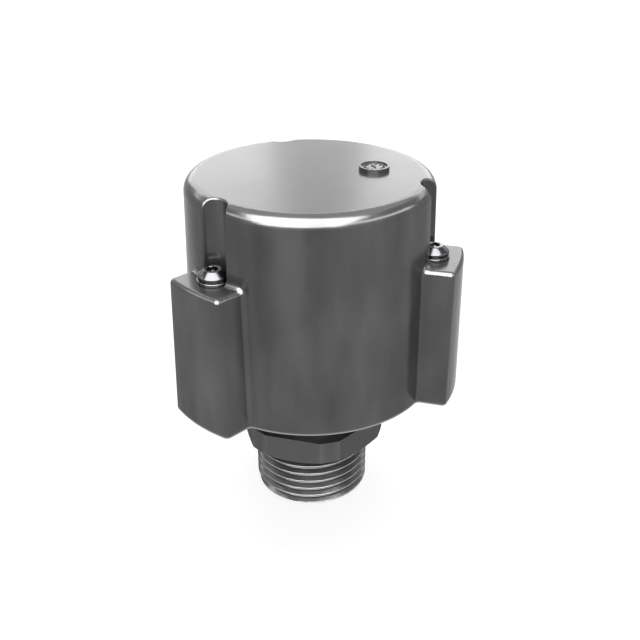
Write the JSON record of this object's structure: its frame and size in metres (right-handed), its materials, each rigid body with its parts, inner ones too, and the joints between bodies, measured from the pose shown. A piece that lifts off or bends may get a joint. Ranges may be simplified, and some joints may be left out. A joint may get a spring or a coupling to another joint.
{
  "type": "tank breather valve",
  "caption": "Screw-in tank breather: a cast cover over a pleated filter element, with sprung pressure and vacuum relief valves above a threaded hexagon nipple.",
  "frame": {"origin": "centre of the open end of the threaded nipple, on the axis of the breather", "axes": "+Z along the axis, from the nipple up to the top of the cover; +Y through the middle of one cover boss"},
  "size_m": [0.0654, 0.0622, 0.0794],
  "materials": {
    "cast_metal": "satin die-cast aluminium alloy with a soft sheen",
    "base_metal": "as-cast aluminium alloy",
    "turned_metal": "turned and milled steel",
    "screw_steel": "bright stainless steel",
    "washer_steel": "bright stainless steel",
    "plated_steel": "zinc-plated steel",
    "cage_metal": "turned aluminium alloy",
    "seat_brass": "turned brass",
    "vacuum_brass": "turned brass",
    "poppet_metal": "turned aluminium alloy",
    "spring_steel": "drawn spring steel wire",
    "element_steel": "pressed galvanised sheet steel",
    "seal_rubber": "matt nitrile rubber",
    "gasket_rubber": "matt nitrile rubber",
    "filter_paper": "resin-treated filter paper"
  },
  "bodies": {
    "housing": {"cover": "cast_metal", "cover_washer_1": "washer_steel", "cover_screw_1": "screw_steel", "cover_washer_2": "washer_steel", "cover_screw_2": "screw_steel", "cover_washer_3": "washer_steel", "cover_screw_3": "screw_steel", "base_casting": "base_metal", "threaded_adapter": "turned_metal", "adapter_o_ring": "seal_rubber", "lock_nut": "plated_steel", "valve_cage": "cage_metal", "valve_seat": "seat_brass", "pressure_spring": "spring_steel", "spring_adjuster": "seat_brass", "lower_gasket": "gasket_rubber", "upper_gasket": "gasket_rubber", "lower_end_cap": "element_steel", "upper_end_cap": "element_steel", "filter_core": "element_steel", "filter_media": "filter_paper", "splash_baffle": "element_steel"},
    "pressure_valve": {"pressure_poppet": "poppet_metal", "pressure_seal": "seal_rubber", "vacuum_spring": "spring_steel"},
    "vacuum_poppet": {"vacuum_valve": "vacuum_brass", "vacuum_seal": "seal_rubber", "spring_keeper": "plated_steel", "keeper_clip": "spring_steel"}
  },
  "joints": [
    {"name": "pressure_relief", "type": "slide", "parent": "housing", "child": "pressure_valve", "axis": [0, 0, 1], "range_m": [0, 0.004], "stiffness_N_per_m": 1500, "springref_m": -0.0053, "deforming": ["pressure_spring"]},
    {"name": "vacuum_relief", "type": "slide", "parent": "pressure_valve", "child": "vacuum_poppet", "axis": [0, 0, -1], "range_m": [0, 0.0025], "stiffness_N_per_m": 120, "springref_m": -0.0034, "deforming": ["vacuum_spring"]}
  ]
}
